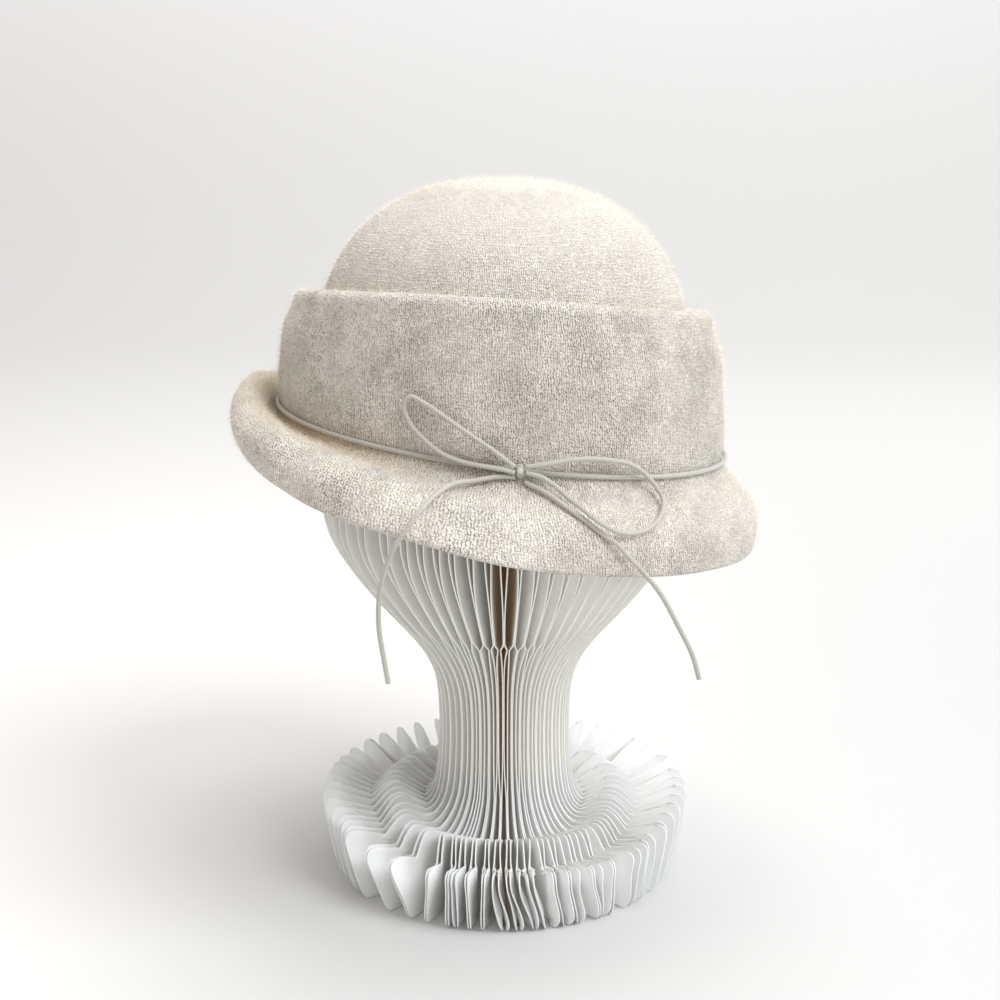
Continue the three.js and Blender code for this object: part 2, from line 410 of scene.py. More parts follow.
@dataclass(frozen=True)
class KnittedFelt:
    """A knit of thick wool yarn, fulled until its stitches are nearly closed.

    Its UV map counts wales across and courses down. A span says where a change starts and ends:
    in courses for the pole, dome, cuff and gutter, in metres for a reach or a level, and in shares
    of a pattern's height where it shows. The knit fades at the crown's pole, where its wales run
    together. Light and shade are painted into the colour: painted shade in the pits between the
    stitches and, a little, on the cuff; a painted highlight that makes the dome lighter and plainer
    than the cuff, and the top plainest; painted shade again at the very top, which tones that down;
    and painted warm bounce light and shade in the gutter, the hollow behind the roll of the front
    brim.
    """

    cream: Colour = (0.95, 0.885, 0.805)
    grey: Colour = (0.60, 0.565, 0.50)
    # The light strands' colour, which also paints the highlight on the dome.
    strand_and_highlight: Colour = (1.0, 0.955, 0.88)
    loose: Colour = (0.95, 0.89, 0.80)
    # Painted shade for the very top, which tones down the top light there.
    crown: Colour = (0.60, 0.565, 0.51)
    # Painted shade: the colour of the shadow in the pits between the stitches.
    pit_shade: Colour = (0.19, 0.165, 0.135)
    # Painted warm bounce light and shade in the gutter (warm), paler at the brim's far front
    # (glow).
    warm: Colour = (0.88, 0.64, 0.40)
    glow: Colour = (1.0, 0.80, 0.58)
    pole: Span = (10.0, 40.0)
    dome_end: Span = (70.0, 82.0)
    cuff_start: Span = (96.0, 108.0)
    cuff_end: Span = (142.0, 150.0)
    gutter_start: Span = (141.0, 148.0)
    gutter_end: Span = (146.0, 158.0)
    gutter_slant: float = 110.0
    gutter_reach: Span = (-0.105, -0.01)
    glow_reach: Span = (-0.125, -0.085)
    top_highlight_level: Span = (0.300, 0.336)
    top_shade_level: Span = (0.325, 0.337)
    sway: Clouds = Clouds(60.0)
    shift: Clouds = Clouds(330.0, detail=1.0)
    lean: Clouds = Clouds(240.0, detail=1.0)
    grain: Clouds = Clouds(1100.0, detail=1.0, shows=(0.28, 0.72))
    grain_drawn: Point = (1.0, 1.0, 0.6)
    fibre: Clouds = Clouds(1500.0, roughness=0.65)
    fibre_shows: Span = (0.45, 0.72)
    # Noise that makes the pits' painted shade stronger or weaker from place to place.
    pit_shade_noise: Clouds = Clouds(40.0, detail=3.0, shows=(0.3, 0.72))
    patch: Clouds = Clouds(52.0, roughness=0.45, shows=(0.38, 0.72))
    fleck: Clouds = Clouds(150.0, roughness=0.55, shows=(0.36, 0.70))
    pits_show: Span = (0.40, 0.86)
    wale_sway: float = 1.4
    wale_shift: float = 0.9
    arm_slope: float = 1.2
    course_sway: float = 2.0
    course_lean: float = 1.5
    knit_share: float = 0.64
    relief: float = 0.0009
    fibre_relief: float = 0.0003

    def _knit(self, shader: Shader, place: Wire, wale: Wire, course: Wire) -> Wire:
        """The relief of the knit's loops, each a V of two arms, that wander as a fulled knit's do.

        Args:
            shader: The felt's shader.
            place: The place on the felt.
            wale: The count of wales across.
            course: The count of courses down.

        Returns:
            The height of the loops, from 0 to 1.
        """
        sway, shift, lean = (shader.noise(place, clouds) - 0.5
                             for clouds in (self.sway, self.shift, self.lean))
        arm = ((wale + sway * self.wale_sway + shift * self.wale_shift).fract() - 0.5).size()
        phase = course - arm * self.arm_slope
        loops = (phase + sway * self.course_sway + lean * self.course_lean).wave()
        ridge = (arm * (2 * math.pi)).sine()
        drawn_in = course.rise(*self.pole)
        return ridge.raised(0.7) * (loops * 0.6 + 0.4) * drawn_in + (1.0 - drawn_in) * 0.50

    def material(self) -> bpy.types.Material:
        """Builds the felt's material.

        Returns:
            The material.
        """
        shader = Shader("knitted_felt")
        place = shader.place()
        front, _, level = place.parts()
        wale, course, _ = shader.pattern().parts()
        drawn = shader.node("ShaderNodeMapping", None, {"Vector": place, "Scale": self.grain_drawn})
        fibre = shader.noise(place, self.fibre)
        knit = self._knit(shader, place, wale, course)
        grain = shader.noise(drawn, self.grain)
        height = knit * self.knit_share + grain * (1.0 - self.knit_share)
        # The top, where a painted highlight makes the felt lighter and plainer and fades the pits'
        # painted shade.
        plain = level.rise(*self.top_highlight_level)
        dome = 1.0 - course.rise(*self.dome_end)
        # Painted shade in the pits between the stitches, varied by a noise, and faded on the dome
        # and at the top.
        pit_shade_noise = shader.noise(place, self.pit_shade_noise) * 0.45 + 0.45
        pits = (1.0 - height).rise(*self.pits_show) * pit_shade_noise
        pits = pits * (1.0 - plain * 0.85) * (1.0 - dome * 0.25)
        patch = shader.noise(place, self.patch)
        fleck = shader.noise(place, self.fleck)
        # Painted shade: the cuff's wall is painted a little darker. The patches and flecks are the
        # felt's own random mottling.
        cuff = course.rise(*self.cuff_start) * (1.0 - course.rise(*self.cuff_end))
        dark = patch * 0.57 + fleck * 0.31 + cuff * 0.12
        # The dome and the top get less of the dark: part of the painted highlight.
        dark = dark * (1.0 - dome * 0.35) * (1.0 - plain * 0.6)
        body = shader.mix(dark, self.cream, self.grey)
        # Painted warm bounce light and shade in the gutter behind the front brim's roll, paler at
        # its far front end.
        gutter_end = (course + front * self.gutter_slant).rise(*self.gutter_end)
        gutter = course.rise(*self.gutter_start) * (1.0 - gutter_end)
        gutter = gutter * (1.0 - front.rise(*self.gutter_reach))
        warm = shader.mix(front.rise(*self.glow_reach), self.glow, self.warm)
        body = shader.mix(gutter * 0.85, body, warm)
        # Painted highlight: the dome is painted towards the light strands' colour, the top most of
        # all.
        body = shader.mix(dome * (plain * 0.4 + 0.4), body, self.strand_and_highlight)
        body = shader.mix(fibre.rise(*self.fibre_shows) * 0.45, body, self.strand_and_highlight)
        # Painted shade on the very top of the dome, mottled by the flecks, which tones down the
        # painted highlight and the light from above.
        body = shader.mix(level.rise(*self.top_shade_level) * (fleck * 0.3 + 0.55), body, self.crown)
        # The pits' painted shade darkens the colour.
        colour = shader.mix(pits, body, self.pit_shade)
        knitted = shader.bump(height, self.relief)
        normal = shader.bump(fibre, self.fibre_relief, strength=0.7, over=knitted)
        return shader.dress(Base_Color=colour, Roughness=0.95, Normal=normal, Sheen_Weight=0.35,
                            Sheen_Roughness=0.5, Specular_IOR_Level=0.15)

    def nap_material(self) -> bpy.types.Material:
        """Builds the material of the loose fibres on the felt."""
        shader = Shader("felt_nap")
        return shader.dress(Base_Color=self.loose, Roughness=0.9, Specular_IOR_Level=0.15)


@dataclass(frozen=True)
class RoundCord:
    """A fine round cord of twisted plies. Its UV map counts turns round and diameters along."""

    colour: Colour = (0.64, 0.625, 0.575)
    shade: Colour = (0.31, 0.295, 0.26)
    plies: float = 4.0
    twist: float = 2.0
    braid_share: float = 0.7
    fibre: Clouds = Clouds(1800.0)
    shade_shows: Span = (0.0, 0.45)
    relief: float = 0.00010

    def material(self) -> bpy.types.Material:
        """Builds the cord's material.

        Returns:
            The material.
        """
        shader = Shader("round_cord")
        around, along, _ = shader.pattern().parts()
        right = (around * self.plies + along * self.twist).wave()
        left = (around * self.plies - along * self.twist).wave()
        fibre = shader.noise(shader.place(), self.fibre)
        height = right * left * self.braid_share + fibre * (1.0 - self.braid_share)
        colour = shader.mix(height.rise(*self.shade_shows), self.shade, self.colour)
        normal = shader.bump(height, self.relief)
        return shader.dress(Base_Color=colour, Roughness=0.62, Normal=normal, Sheen_Weight=0.2,
                            Specular_IOR_Level=0.35)


@dataclass(frozen=True)
class WhiteCard:
    """Uncoated white card, painted warmer deep inside the stand, and given a painted glow.

    Its UV map runs across from the edge, 0, to the core, 1, and holds a share of the seam, where
    the sheets at the bow's side alone are made browner deep in. A depth is a span of that first
    number, and the other spans are in metres. Deep inside the stand the colour turns darker and
    warmer, a
    painted bounce shade. The sheets' faces are painted less white than their edges, a painted
    shade:
    wholly so on the foot, save at its tips, and by a share above it, and lighter on the lit side.
    The emission is a painted glow that stands in for the light that the thin card lets through:
    stronger on the lit side, browner at the seam, and none at the very edge.
    """

    white: Colour = (0.945, 0.937, 0.898)
    white_low: Colour = (0.925, 0.937, 0.942)
    # Painted warm bounce shade deep inside the stand.
    inner: Colour = (0.86, 0.838, 0.79)
    # Painted shade on the sheets' faces, and its lighter copy for the lit side (painted light).
    face_shade: Colour = (0.78, 0.782, 0.775)
    face_lit: Colour = (0.88, 0.883, 0.877)
    face_share_above: float = 0.55
    # Brown that the sheets turn deep in at the seam.
    seam: Colour = (0.62, 0.48, 0.33)
    # Emission colours: a painted glow that stands in for light coming through the card.
    through: Colour = (0.017, 0.0165, 0.0145)
    through_lit: Colour = (0.100, 0.099, 0.090)
    through_seam: Colour = (0.020, 0.013, 0.007)
    foot_top: Span = (0.044, 0.060)
    foot_tips: Span = (0.076, 0.087)
    face_depth: Span = (0.003, 0.040)
    inner_shade_depth: Span = (0.04, 0.45)
    seam_depth: Span = (0.01, 0.12)
    through_depth: Span = (0.0, 0.10)
    face_lit_across: Span = (-0.02, 0.03)
    through_lit_across: Span = (-0.01, 0.035)
    fibre: Clouds = Clouds(900.0, detail=3.0)
    relief: float = 0.00006

    def material(self) -> bpy.types.Material:
        """Builds the card's material.

        Returns:
            The material.
        """
        shader = Shader("white_card")
        place = shader.place()
        across, along, height = place.parts()
        depth, seam, _ = shader.pattern().parts()
        radius = (across * across + along * along).raised(0.5)
        foot = 1 - height.rise(*self.foot_top)
        shaded = foot * (1 - radius.rise(*self.foot_tips)) + (1 - foot) * self.face_share_above
        # Painted light: on the lit side the faces' painted shade is lighter.
        face_shade = shader.mix(across.rise(*self.face_lit_across), self.face_shade, self.face_lit)
        body = shader.mix(foot, self.white, self.white_low)
        # Painted warm bounce shade: the card turns darker and warmer deeper inside.
        body = shader.mix(depth.rise(*self.inner_shade_depth), body, self.inner)
        # Painted shade on the sheets' faces, under their edges.
        body = shader.mix(shaded * depth.rise(*self.face_depth), body, face_shade)
        # Browner deep in the sheets at the seam, on the bow's side.
        body = shader.mix(seam * depth.rise(*self.seam_depth), body, self.seam)
        # Painted glow: emission that stands in for the light that the card lets through, stronger
        # on the lit side, browner at the seam, and none at the edge.
        lit = across.rise(*self.through_lit_across) * (1 - foot * 0.5)
        through = shader.mix(lit, self.through, self.through_lit)
        through = shader.mix(seam, through, self.through_seam)
        through = shader.mix(depth.rise(*self.through_depth), (0.0, 0.0, 0.0), through)
        normal = shader.bump(shader.noise(place, self.fibre), self.relief)
        return shader.dress(Base_Color=body, Roughness=0.8, Normal=normal, Specular_IOR_Level=0.2,
                            Emission_Color=through, Emission_Strength=1.0)


@dataclass(frozen=True)
class PaleFloor:
    """A plain pale matt floor, with painted shade towards the hat's back, and paler where it turns
    up.
    """

    front: Colour = (0.80, 0.795, 0.79)
    back: Colour = (0.60, 0.605, 0.61)
    far: Colour = (0.75, 0.75, 0.75)
    wall: Colour = (0.93, 0.93, 0.94)
    back_across: Span = (-0.40, 0.45)
    far_away: Span = (0.1, 1.3)
    wall_height: Span = (0.0, 0.9)

    def material(self) -> bpy.types.Material:
        """Builds the floor's material.

        Returns:
            The material.
        """
        shader = Shader("pale_floor")
        across, away, height = shader.place().parts()
        # Painted shade: darker towards the hat's back, where the key and side lights fall
        # strongest.
        floor = shader.mix(across.rise(*self.back_across), self.front, self.back)
        floor = shader.mix(away.rise(*self.far_away), floor, self.far)
        colour = shader.mix(height.rise(*self.wall_height), floor, self.wall)
        return shader.dress(Base_Color=colour, Roughness=0.9, Specular_IOR_Level=0.1)


# ---------------------------------------------------------------------------------------------
# The hat


@dataclass(frozen=True)
class Ring:
    """A ring round the hat: its height at the front, the back, the bow's side and the far side."""

    front: float
    back: float
    bow: float
    far: float

    def height(self, azimuth: float) -> float:
        """The ring's height at an azimuth.

        Args:
            azimuth: The azimuth in radians.

        Returns:
            The height.
        """
        ends = (self.front + self.back) / 2
        sides = (self.bow + self.far) / 2
        level = (ends + sides) / 2 + (ends - sides) / 2 * math.cos(2 * azimuth)
        along = (self.front - self.back) / 2 * math.cos(azimuth)
        across = (self.bow - self.far) / 2 * math.sin(azimuth)
        return level + along + across


@dataclass(frozen=True)
class BrimRow:
    """The brim at one azimuth: its length, and its headings in degrees above level."""

    azimuth: float
    length: float
    leave: float
    spread: float
    finish: float


@dataclass(frozen=True)
class Wall:
    """A wall of felt, as rows of columns: its middle, half thickness, normals and ways down."""

    middle: np.ndarray
    half: np.ndarray
    normal: np.ndarray
    down: np.ndarray

    def outer(self) -> np.ndarray:
        """The places on its outer side."""
        return self.middle + self.normal * self.half[:, None, None]

    def inner(self) -> np.ndarray:
        """The places on its inner side."""
        return self.middle - self.normal * self.half[:, None, None]

    def nose(self, steps: int) -> np.ndarray:
        """The round edge that it ends in.

        Args:
            steps: How many steps it takes from the outer side to the inner one.

        Returns:
            The places between the two sides.
        """
        angles = np.linspace(0.0, np.pi, steps + 1)[1:-1, None, None]
        round_off = self.normal[-1] * np.cos(angles) + self.down[-1] * np.sin(angles)
        return self.middle[-1] + self.half[-1] * round_off


@dataclass
class FeltHat:
    """The felt: dome, tucked cuff and rolled brim, in one piece.

    The brim is given from the front to the back, and is the same on both sides.
    """

    crown_wall: float = 0.003
    brim_wall: float = 0.004
    columns: int = 288
    centre_x: float = -0.001
    dome_half_x: float = 0.0855
    dome_half_y: float = 0.076
    dome_foot: float = 0.250
    dome_rise: float = 0.0875
    dome_sideways: float = 2.15
    dome_upwards: float = 2.7
    dome_rows: int = 30
    cuff_top: Ring = Ring(0.287, 0.276, 0.294, 0.269)
    waist: Ring = Ring(0.236, 0.209, 0.2225, 0.2225)
    waist_half_x: float = 0.1042
    waist_half_y: float = 0.0895
    waist_pinch: float = 0.0008
    tuck_depth: float = 0.016
    inner_turn: float = 0.0026
    inner_turn_rows: int = 7
    tuck_rows: int = 4
    outer_turn: float = 0.0033
    outer_turn_rows: int = 12
    cuff_down: tuple[float, ...] = (0.0, 0.22, 0.5, 0.8, 0.94, 1.0)
    cuff_widen: tuple[float, ...] = (0.0, 0.58, 0.86, 1.02, 1.03, 0.93)
    cuff_rows: int = 26
    brim: tuple[BrimRow, ...] = (
        BrimRow(0, 0.045, -90, 80, -146),
        BrimRow(25, 0.0485, -82, 54, -118),
        BrimRow(50, 0.051, -71, 28, -99),
        BrimRow(75, 0.0525, -68, 3, -60),
        BrimRow(100, 0.0465, -70, -30, -83),
        BrimRow(140, 0.0455, -72, -48, -100),
        BrimRow(180, 0.048, -77, -44, -102),
    )
    brim_rows: int = 40
    nose_rows: int = 7
    spread_at: float = 0.35
    swells: tuple[tuple[float, float], ...] = ((22.0, 0.0006), (75.0, 0.00015))
    swell_shift: Point = (3.0, 1.0, 7.0)
    swell_reach: Span = (0.02, 0.07)
    wales: int = 300
    course: float = 0.0014

    def _dome(self, tuck_z: float) -> np.ndarray:
        """The dome's half widths and heights.

        Args:
            tuck_z: The height that it goes down to, behind the cuff.

        Returns:
            Rows of a half width along x, one along y, and a height.
        """
        lowest = math.acos((tuck_z - self.dome_foot) / self.dome_rise)
        share = np.cos(np.linspace(0.0, lowest, self.dome_rows + 1))
        reach = np.maximum(0.0, 1 - share ** self.dome_upwards) ** (1 / self.dome_sideways)
        return np.stack([self.dome_half_x * reach, self.dome_half_y * reach,
                         self.dome_foot + self.dome_rise * share], axis=1)

    @staticmethod
    def _turn(start: np.ndarray, centre_out: float, centre_z: float, radius: float,
              rows: int) -> np.ndarray:
        """A half turn of the felt, from its inner to its outer side.

        Args:
            start: The dome's last row, from which the turn's centre is counted.
            centre_out: How far out the centre is.
            centre_z: The centre's height.
            radius: The turn's radius, negative where it turns downwards.
            rows: How many rows it adds.

        Returns:
            Rows of a half width along x, one along y, and a height.
        """
        angle = np.pi * (1 - np.linspace(0.0, 1.0, rows + 1))
        out = centre_out + abs(radius) * np.cos(angle)
        return np.stack([start[0] + out, start[1] + out, centre_z + radius * np.sin(angle)], axis=1)

    def _cuff(self, start: np.ndarray, top_z: float, waist_z: float) -> np.ndarray:
        """The tuck and the cuff's outer wall.

        Args:
            start: The dome's last row.
            top_z: The height of the cuff's fold.
            waist_z: The height of the waist, which the cuff stops short of by one row.

        Returns:
            Rows of a half width along x, one along y, and a height.
        """
        crest_z = top_z - self.crown_wall / 2 - self.outer_turn
        lower = self._turn(start, self.inner_turn, start[2], -self.inner_turn, self.inner_turn_rows)
        upper = self._turn(start, 2 * self.inner_turn + self.outer_turn, crest_z, self.outer_turn,
                           self.outer_turn_rows)
        rise = np.linspace(lower[-1], upper[0], self.tuck_rows + 1)[1:-1]
        edge = upper[-1]
        down = np.linspace(0.0, 1.0, self.cuff_rows + 1)[1:-1]
        widen = np.array([smooth_through(self.cuff_down, self.cuff_widen, share) for share in down])
        wall = np.stack([edge[0] + (self.waist_half_x - edge[0]) * widen,
                         edge[1] + (self.waist_half_y - edge[1]) * widen,
                         edge[2] + (waist_z - edge[2]) * down], axis=1)
        return np.vstack([lower[1:], rise, upper, wall])

    def _brim(self, azimuth: float, waist_z: float) -> np.ndarray:
        """The brim from the waist to its edge.

        Args:
            azimuth: The azimuth in radians.
            waist_z: The waist's height there.

        Returns:
            Rows of a half width along x, one along y, and a height.
        """
        degrees = abs((math.degrees(azimuth) + 180) % 360 - 180)
        knots = [row.azimuth for row in self.brim]
        length, leave, spread, finish = (
            smooth_through(knots, [getattr(row, column) for row in self.brim], degrees)
            for column in ("length", "leave", "spread", "finish"))
        along = (np.arange(self.brim_rows) + 0.5) / self.brim_rows
        first = smoothstep(along, 0, self.spread_at)
        second = smoothstep(along, self.spread_at, 1)
        heading = np.radians(leave + (spread - leave) * first + (finish - spread) * second)
        step = length / self.brim_rows
        run, rise = (np.concatenate([[0.0], np.cumsum(part(heading) * step)])
                     for part in (np.cos, np.sin))
        out = run - self.waist_pinch
        return np.stack([self.waist_half_x + out, self.waist_half_y + out, waist_z + rise], axis=1)

    def _middle(self) -> tuple[np.ndarray, np.ndarray]:
        """The middle of the felt wall.

        Returns:
            Its points, as rows of columns, and its half thickness in each row.
        """
        runs = []
        for azimuth in np.linspace(0.0, 2 * np.pi, self.columns + 1):
            top_z = self.cuff_top.height(azimuth)
            waist_z = self.waist.height(azimuth)
            dome = self._dome(top_z - self.tuck_depth)
            cuff = self._cuff(dome[-1], top_z, waist_z)
            run = np.vstack([dome, cuff, self._brim(azimuth, waist_z)])
            runs.append(np.stack([self.centre_x - run[:, 0] * math.cos(azimuth),
                                  -run[:, 1] * math.sin(azimuth), run[:, 2]], axis=1))
        rows = len(runs[0])
        swell = smoothstep(np.arange(rows), rows - self.brim_rows, rows)
        half = (self.crown_wall + (self.brim_wall - self.crown_wall) * swell) / 2
        return np.stack(runs, axis=1), half

    @staticmethod
    def _normals(points: np.ndarray) -> tuple[np.ndarray, np.ndarray]:
        """The outward directions of a wall, and the directions down along it.

        Args:
            points: The wall's middle, as rows of columns, whose first and last columns are one.

        Returns:
            The unit normals and the unit tangents.
        """
        along = np.gradient(points, axis=0)
        ring = points[:, :-1]
        around = np.roll(ring, -1, axis=1) - np.roll(ring, 1, axis=1)
        around = np.concatenate([around, around[:, :1]], axis=1)
        around[0] = around[1]
        normal = np.cross(along, around)
        normal[0] = (0.0, 0.0, 1.0)
        along /= np.linalg.norm(along, axis=2, keepdims=True)
        normal /= np.linalg.norm(normal, axis=2, keepdims=True)
        return normal, along

    def _soften(self, points: np.ndarray, normal: np.ndarray) -> np.ndarray:
        """Gives the wall the slight unevenness of felt shaped by hand.

        Args:
            points: The wall's middle.
            normal: Its normals.

        Returns:
            The middle, moved in and out.
        """
        flat = points.reshape(-1, 3)
        shift = np.zeros(len(flat))
        for index, (waves, depth) in enumerate(self.swells):
            start = Vector(self.swell_shift) * index
            shift += [depth * noise.noise(Vector(place) * waves + start) for place in flat]
        spread = np.hypot(points[..., 0] - self.centre_x, points[..., 1])
        shift = shift.reshape(points.shape[:2]) * smoothstep(spread, *self.swell_reach)
        return points + normal * shift[..., None]

    def wall(self) -> Wall:
        """Works the felt's wall out.

        Returns:
            The softened wall.
        """
        points, half = self._middle()
        normal, along = self._normals(points)
        return Wall(self._soften(points, normal), half, normal, along)

    def build(self, finish: KnittedFelt) -> bpy.types.Object:
        """Builds the felt as one closed wall.

        Args:
            finish: The felt's finish.

        Returns:
            The piece.
        """
        wall = self.wall()
        places = np.concatenate([wall.outer(), wall.nose(self.nose_rows), wall.inner()[::-1]])
        down = distances(places[:, self.columns // 4]) / self.course
        piece = laid_grid("felt", places, np.linspace(0.0, self.wales, self.columns + 1), down)
        close_up(piece)
        place_piece(piece, finish.material(), "felt_body")
        return piece


@dataclass
class FeltNap:
    """Short loose fibres on the felt's outer side, each a fine closed spike.

    None starts in the rows of the tuck behind the cuff or in those under the waist cord.
    """

    hat: FeltHat
    fibres: int = 45000
    width: float = 0.00015
    lengths: Span = (0.0014, 0.0040)
    lifts: Span = (20.0, 85.0)
    root: float = 0.0002
    tuck: tuple[int, int] = (27, 44)
    waist: tuple[int, int] = (76, 83)
    seed: int = 11

    def _roots(self, rng: np.random.Generator) -> tuple[np.ndarray, ...]:
        """Where the fibres start, spread evenly over the felt.

        Args:
            rng: The random draws.

        Returns:
            The places, and the felt's normal and the direction down it at each.
        """
        wall = self.hat.wall()
        outer = wall.outer()
        across = np.cross(np.diff(outer, axis=0)[:, :-1], np.diff(outer, axis=1)[:-1])
        area = np.linalg.norm(across, axis=2)
        for first, last in (self.tuck, self.waist):
            area[first:last] = 0.0
        picked = rng.choice(area.size, self.fibres, p=area.ravel() / area.sum())
        row, column = np.divmod(picked, area.shape[1])
        down, over = rng.random((2, self.fibres, 1))
        roots = []
        for grid in (outer, wall.normal, wall.down):
            upper = grid[row, column] * (1 - over) + grid[row, column + 1] * over
            lower = grid[row + 1, column] * (1 - over) + grid[row + 1, column + 1] * over
            roots.append(upper * (1 - down) + lower * down)
        return tuple(roots)

    def build(self, finish: KnittedFelt) -> bpy.types.Object:
        """Builds the fibres as one piece.

        Args:
            finish: The felt's finish.

        Returns:
            The piece.
        """
        rng = np.random.default_rng(self.seed)
        start, normal, down = self._roots(rng)
        turn = rng.uniform(0, 2 * np.pi, (self.fibres, 1))
        lift = np.radians(rng.uniform(*self.lifts, (self.fibres, 1)))
        length = rng.uniform(*self.lengths, (self.fibres, 1, 1))
        flat = down * np.cos(turn) + np.cross(normal, down) * np.sin(turn)
        heading = normal * np.sin(lift) + flat * np.cos(lift)
        first = np.cross(heading, normal * np.cos(lift) - flat * np.sin(lift))
        second = np.cross(heading, first)
        deselect_all()
        bpy.ops.mesh.primitive_cone_add(vertices=3, radius1=1.0, radius2=0.0, depth=1.0,
                                        location=(0, 0, 0))
        nap = bpy.context.object
        nap.name = "felt_nap"
        spike = np.empty(len(nap.data.vertices) * 3)
        nap.data.vertices.foreach_get("co", spike)
        x, y, z = (spike.reshape(1, -1, 3)[..., axis, None] for axis in range(3))
        copies = nap.modifiers.new("copies", "ARRAY")
        copies.count = self.fibres
        copies.use_relative_offset = False
        bpy.ops.object.modifier_apply(modifier=copies.name)
        places = (start - heading * self.root)[:, None] + heading[:, None] * (z + 0.5) * length
        places += (first[:, None] * x + second[:, None] * y) * self.width / 2
        nap.data.vertices.foreach_set("co", places.ravel())
        nap.data.update()
        deselect_all()
        place_piece(nap, finish.nap_material(), "felt_body")
        return nap


# ---------------------------------------------------------------------------------------------
# The cord


@dataclass(frozen=True)
class BowCord:
    """One free stretch of the bow: its CAD node's name, its far end and its listed route."""

    name: str
    far_end: FarEnd
    route: tuple[Point, ...]


@dataclass
class TiedCord:
    """The cord round the waist, its knot, and the bow's loops and tails."""

    hat: FeltHat
    radius: float = 0.0011
    stand_off: float = 0.0031
    waist_steps: int = 900
    knot: Point = (0.0065, -0.0932, 0.2218)
    knot_turn: float = 0.0021
    knot_stretch: Point = (1.55, 0.78, 1.0)
    knot_tilt: float = math.radians(6)
    sides: int = 14
    spacing: float = 0.0007
    bow: tuple[BowCord, ...] = (
        BowCord("bow_loop_front", FarEnd.OBJECT, (
            (0.0042, -0.0947, 0.2240), (-0.0070, -0.0946, 0.2325), (-0.0160, -0.0940, 0.2385),
            (-0.0255, -0.0920, 0.2450), (-0.0345, -0.0900, 0.2508), (-0.0400, -0.0885, 0.2530),
            (-0.0430, -0.0875, 0.2496), (-0.0405, -0.0880, 0.2415), (-0.0350, -0.0895, 0.2353),
            (-0.0273, -0.0915, 0.2293), (-0.0190, -0.0930, 0.2260), (-0.0105, -0.0943, 0.2244),
            (-0.0015, -0.0950, 0.2230), (0.0042, -0.0950, 0.2215))),
        BowCord("bow_loop_back", FarEnd.OBJECT, (
            (0.0088, -0.0947, 0.2240), (0.0170, -0.0946, 0.2250), (0.0280, -0.0925, 0.2264),
            (0.0365, -0.0900, 0.2264), (0.0470, -0.0860, 0.2246), (0.0538, -0.0830, 0.2225),
            (0.0605, -0.0795, 0.2176), (0.0658, -0.0770, 0.2112), (0.0690, -0.0780, 0.2058),
            (0.0686, -0.0830, 0.2014), (0.0650, -0.0900, 0.1980), (0.0596, -0.0960, 0.1962),
            (0.0530, -0.1005, 0.1962), (0.0465, -0.1041, 0.1984), (0.0395, -0.1053, 0.2027),
            (0.0331, -0.1028, 0.2074), (0.0272, -0.0980, 0.2110), (0.0218, -0.0958, 0.2155),
            (0.0156, -0.0952, 0.2196), (0.0088, -0.0950, 0.2215))),
        BowCord("bow_tail_front", FarEnd.BARE, (
            (0.0042, -0.0934, 0.2193), (-0.0034, -0.0946, 0.2196), (-0.0127, -0.0980, 0.2188),
            (-0.0216, -0.1055, 0.2192), (-0.0296, -0.1188, 0.2170), (-0.0354, -0.1266, 0.2120),
            (-0.0404, -0.1295, 0.2056), (-0.0450, -0.1295, 0.1990), (-0.0476, -0.1280, 0.1924),
            (-0.0495, -0.1270, 0.1880), (-0.0523, -0.1245, 0.1744), (-0.0527, -0.1220, 0.1603),
            (-0.0510, -0.1200, 0.1463), (-0.0495, -0.1190, 0.1356))),
        BowCord("bow_tail_back", FarEnd.BARE, (
            (0.0084, -0.0938, 0.2172), (0.0162, -0.0960, 0.2138), (0.0251, -0.1002, 0.2086),
            (0.0341, -0.1029, 0.2026), (0.0410, -0.1038, 0.1972), (0.0479, -0.1048, 0.1923),
            (0.0528, -0.1036, 0.1864), (0.0578, -0.1024, 0.1810), (0.0664, -0.1030, 0.1705),
            (0.0754, -0.1030, 0.1540), (0.0810, -0.1020, 0.1425), (0.0845, -0.1010, 0.1309))),
    )

    def _tube(self, name: str, path: np.ndarray) -> bpy.types.Object:
        """A round cord along a path, closed at both ends.

        Args:
            name: The new piece's name.
            path: The points along its middle.

        Returns:
            The piece.
        """
        tangent = np.gradient(path, axis=0)
        tangent /= np.linalg.norm(tangent, axis=1, keepdims=True)
        side = np.cross(tangent[0], (0.3, 0.2, 1.0))
        sides = []
        for direction in tangent:
            side = side - direction * np.dot(side, direction)
            side /= np.linalg.norm(side)
            sides.append(side)
        side = np.array(sides)
        angles = np.linspace(0.0, 2 * np.pi, self.sides + 1)[:, None]
        shell = side[:, None] * np.cos(angles) + np.cross(tangent, side)[:, None] * np.sin(angles)
        start, end = (np.tile(path[place], (1, self.sides + 1, 1)) for place in (0, -1))
        places = np.concatenate([start, path[:, None] + self.radius * shell, end])
        down = np.pad(distances(path), 1, mode="edge") / (2 * self.radius)
        piece = laid_grid(name, places, np.linspace(0.0, 1.0, self.sides + 1), down)
        close_up(piece)
        return piece

    def _waist_path(self) -> np.ndarray:
        """The cord's route round the waist, from the knot right round to the knot.

        Returns:
            The points along it.
        """
        half_x = self.hat.waist_half_x + self.stand_off - self.hat.waist_pinch
        half_y = self.hat.waist_half_y + self.stand_off - self.hat.waist_pinch
        at_knot = math.acos((self.hat.centre_x - self.knot[0]) / half_x)
        azimuths = np.linspace(at_knot, at_knot + 2 * np.pi, self.waist_steps)
        return np.stack([self.hat.centre_x - half_x * np.cos(azimuths), -half_y * np.sin(azimuths),
                         [self.hat.waist.height(azimuth) for azimuth in azimuths]], axis=1)

